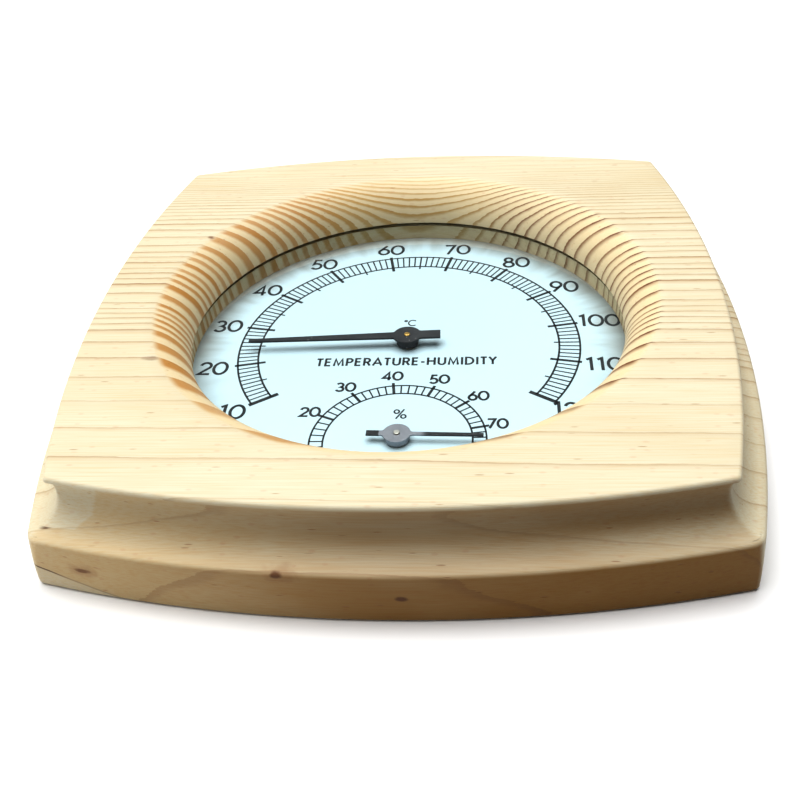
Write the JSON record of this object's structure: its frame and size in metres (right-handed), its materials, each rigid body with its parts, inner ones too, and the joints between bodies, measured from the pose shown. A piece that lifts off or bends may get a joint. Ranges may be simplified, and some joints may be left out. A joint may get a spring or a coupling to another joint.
{
  "type": "sauna thermo-hygrometer",
  "caption": "Wood-framed square instrument with bowed, coved sides; a round glass window over a temperature dial with a smaller humidity dial and two turning pointers.",
  "frame": {"origin": "centre of the back face, where the instrument lies or meets the wall", "axes": "+Z out of the dial towards the viewer, +Y to the top of the dial, +X to the right of the dial"},
  "size_m": [0.1678, 0.1678, 0.0256],
  "materials": {
    "wood": "planed and sanded softwood, unvarnished",
    "glass": "clear window glass",
    "gasket": "thin flat gasket, dark brown",
    "fibreboard": "pressed brown board",
    "dial_white": "satin white print on thin aluminium",
    "zinc_steel": "zinc plated",
    "screw_steel": "bright zinc plated",
    "brass": "turned",
    "pointer_black": "satin black enamel",
    "pointer_silver": "rolled sheet",
    "bimetal": "rolled bimetal strip",
    "humidity_strip": "bronze strip with a moisture-sensing film",
    "ink": "printed ink"
  },
  "bodies": {
    "case": {"frame": "wood", "lens": "glass", "lens_gasket": "gasket", "front_spacer": "wood", "dial_face": "dial_white", "backing_plate": "zinc_steel", "rear_spacer": "fibreboard", "back_cover": "zinc_steel", "cover_screws": "screw_steel", "hanger_plate": "screw_steel", "hanger_screws": "screw_steel", "thermometer_bushing": "brass", "thermometer_bridge": "zinc_steel", "thermometer_rivets": "brass", "thermometer_anchor_post": "brass", "thermometer_coil": "bimetal", "hygrometer_bushing": "pointer_silver", "hygrometer_bridge": "zinc_steel", "hygrometer_rivets": "brass", "hygrometer_anchor_post": "brass", "hygrometer_coil": "humidity_strip"},
    "temperature_hand": {"thermometer_arbor": "brass", "thermometer_collet": "brass", "thermometer_boss": "pointer_black", "thermometer_pointer": "pointer_black"},
    "humidity_hand": {"hygrometer_arbor": "screw_steel", "hygrometer_collet": "brass", "hygrometer_boss": "pointer_silver", "hygrometer_pointer": "pointer_silver"}
  },
  "joints": [
    {"name": "temperature_turn", "type": "hinge", "parent": "case", "child": "temperature_hand", "pos_m": [0, 0, 0.0089], "axis": [0, 0, -1], "range_deg": [-31.5, 216], "stiffness_Nm_per_rad": 0.001, "deforming": ["thermometer_coil"]},
    {"name": "humidity_turn", "type": "hinge", "parent": "case", "child": "humidity_hand", "pos_m": [0, -0.03825, 0.0089], "axis": [0, 0, -1], "range_deg": [-189.85, 40.24], "stiffness_Nm_per_rad": 0.001, "deforming": ["hygrometer_coil"]}
  ]
}
